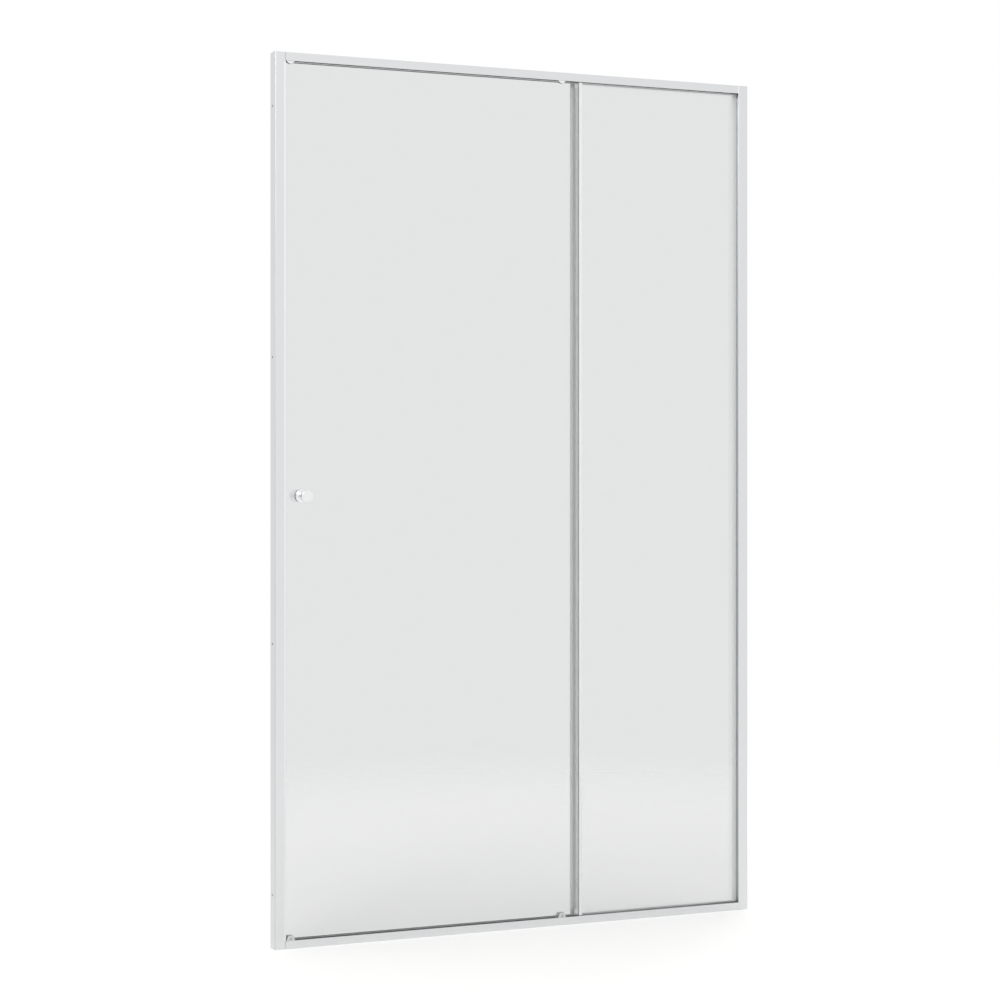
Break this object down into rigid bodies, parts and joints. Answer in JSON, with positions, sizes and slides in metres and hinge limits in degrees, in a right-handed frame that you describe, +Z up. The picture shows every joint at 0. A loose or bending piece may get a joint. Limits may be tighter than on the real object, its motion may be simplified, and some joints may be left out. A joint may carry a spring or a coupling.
{
  "type": "sliding shower door",
  "caption": "Framed alcove shower door: a clear glass pane with a round knob slides on rollers in head and sill rails in front of a fixed glass pane.",
  "frame": {"origin": "middle of the sill rail's underside, halfway between the walls and halfway through the frame's depth", "axes": "+X from the closing jamb towards the fixed pane, -Y towards the room, +Z up"},
  "size_m": [1.2, 0.0938, 2],
  "materials": {
    "frame_aluminium": "bright satin anodised extrusion",
    "channel_aluminium": "satin anodised extrusion",
    "clear_glass": "clear toughened safety glass",
    "seal_pvc": "extruded soft PVC",
    "gasket_rubber": "extruded light grey rubber",
    "stop_rubber": "moulded rubber",
    "screw_steel": "stainless steel",
    "cap_plastic": "moulded plastic",
    "knob_chrome": "polished chrome plate",
    "washer_pvc": "clear soft PVC",
    "hub_zinc": "die-cast zinc, satin",
    "clamp_chrome": "chrome plate",
    "guide_plastic": "moulded light grey plastic",
    "plunger_plastic": "moulded acetal",
    "wheel_nylon": "turned white nylon",
    "bearing_steel": "ground bearing steel",
    "spring_steel": "stainless spring wire"
  },
  "bodies": {
    "frame": {"left_jamb": "frame_aluminium", "right_jamb": "frame_aluminium", "head_rail": "frame_aluminium", "sill_rail": "frame_aluminium", "left_wall_channel": "channel_aluminium", "right_wall_channel": "channel_aluminium", "fixed_glass": "clear_glass", "fixed_edge_seal": "seal_pvc", "fixed_sill_gasket": "gasket_rubber", "fixed_head_gasket": "gasket_rubber", "fixed_jamb_gasket": "gasket_rubber", "strike_seal": "gasket_rubber", "closed_stop": "stop_rubber", "open_stop": "stop_rubber", "corner_screws": "screw_steel", "jamb_screws": "screw_steel", "jamb_screw_caps": "cap_plastic"},
    "door": {"door_glass": "clear_glass", "leading_edge_seal": "seal_pvc", "trailing_edge_seal": "seal_pvc", "knob_front": "knob_chrome", "knob_back": "knob_chrome", "knob_stud": "screw_steel", "knob_bush": "washer_pvc", "knob_washers": "washer_pvc", "top_left_hub": "hub_zinc", "top_left_clamp_screw": "clamp_chrome", "top_left_glass_bush": "washer_pvc", "top_left_axle": "screw_steel", "bottom_left_housing": "guide_plastic", "bottom_left_cover": "guide_plastic", "bottom_left_cover_screw": "screw_steel", "bottom_left_glass_bush": "washer_pvc", "bottom_left_spring": "spring_steel", "top_right_hub": "hub_zinc", "top_right_clamp_screw": "clamp_chrome", "top_right_glass_bush": "washer_pvc", "top_right_axle": "screw_steel", "bottom_right_housing": "guide_plastic", "bottom_right_cover": "guide_plastic", "bottom_right_cover_screw": "screw_steel", "bottom_right_glass_bush": "washer_pvc", "bottom_right_spring": "spring_steel"},
    "top_left_roller": {"top_left_wheel": "wheel_nylon", "top_left_bearing": "bearing_steel"},
    "bottom_left_slider": {"bottom_left_plunger": "plunger_plastic", "bottom_left_axle": "screw_steel"},
    "bottom_left_roller": {"bottom_left_wheel": "wheel_nylon", "bottom_left_bearing": "bearing_steel"},
    "top_right_roller": {"top_right_wheel": "wheel_nylon", "top_right_bearing": "bearing_steel"},
    "bottom_right_slider": {"bottom_right_plunger": "plunger_plastic", "bottom_right_axle": "screw_steel"},
    "bottom_right_roller": {"bottom_right_wheel": "wheel_nylon", "bottom_right_bearing": "bearing_steel"}
  },
  "joints": [
    {"name": "door_slide", "type": "slide", "parent": "frame", "child": "door", "axis": [1, 0, 0], "range_m": [0, 0.415]},
    {"name": "top_left_wheel_spin", "type": "hinge", "parent": "door", "child": "top_left_roller", "pos_m": [-0.562, -0.0003, 1.9907], "axis": [0, 1, 0], "continuous": true},
    {"name": "bottom_left_plunger_slide", "type": "slide", "parent": "door", "child": "bottom_left_slider", "axis": [0, 0, 1], "range_m": [0, 0.003], "stiffness_N_per_m": 600, "springref_m": -0.004, "deforming": ["bottom_left_spring"]},
    {"name": "bottom_left_wheel_spin", "type": "hinge", "parent": "bottom_left_slider", "child": "bottom_left_roller", "pos_m": [-0.562, -0.0003, 0.0127], "axis": [0, 1, 0], "continuous": true},
    {"name": "top_right_wheel_spin", "type": "hinge", "parent": "door", "child": "top_right_roller", "pos_m": [0.105, -0.0003, 1.9907], "axis": [0, 1, 0], "continuous": true},
    {"name": "bottom_right_plunger_slide", "type": "slide", "parent": "door", "child": "bottom_right_slider", "axis": [0, 0, 1], "range_m": [0, 0.003], "stiffness_N_per_m": 600, "springref_m": -0.004, "deforming": ["bottom_right_spring"]},
    {"name": "bottom_right_wheel_spin", "type": "hinge", "parent": "bottom_right_slider", "child": "bottom_right_roller", "pos_m": [0.105, -0.0003, 0.0127], "axis": [0, 1, 0], "continuous": true}
  ],
  "couplings": [
    {"joint": "top_left_wheel_spin", "follows": "door_slide", "rad_per_m": 166.67},
    {"joint": "bottom_left_wheel_spin", "follows": "door_slide", "rad_per_m": 166.67},
    {"joint": "top_right_wheel_spin", "follows": "door_slide", "rad_per_m": 166.67},
    {"joint": "bottom_right_wheel_spin", "follows": "door_slide", "rad_per_m": 166.67}
  ]
}
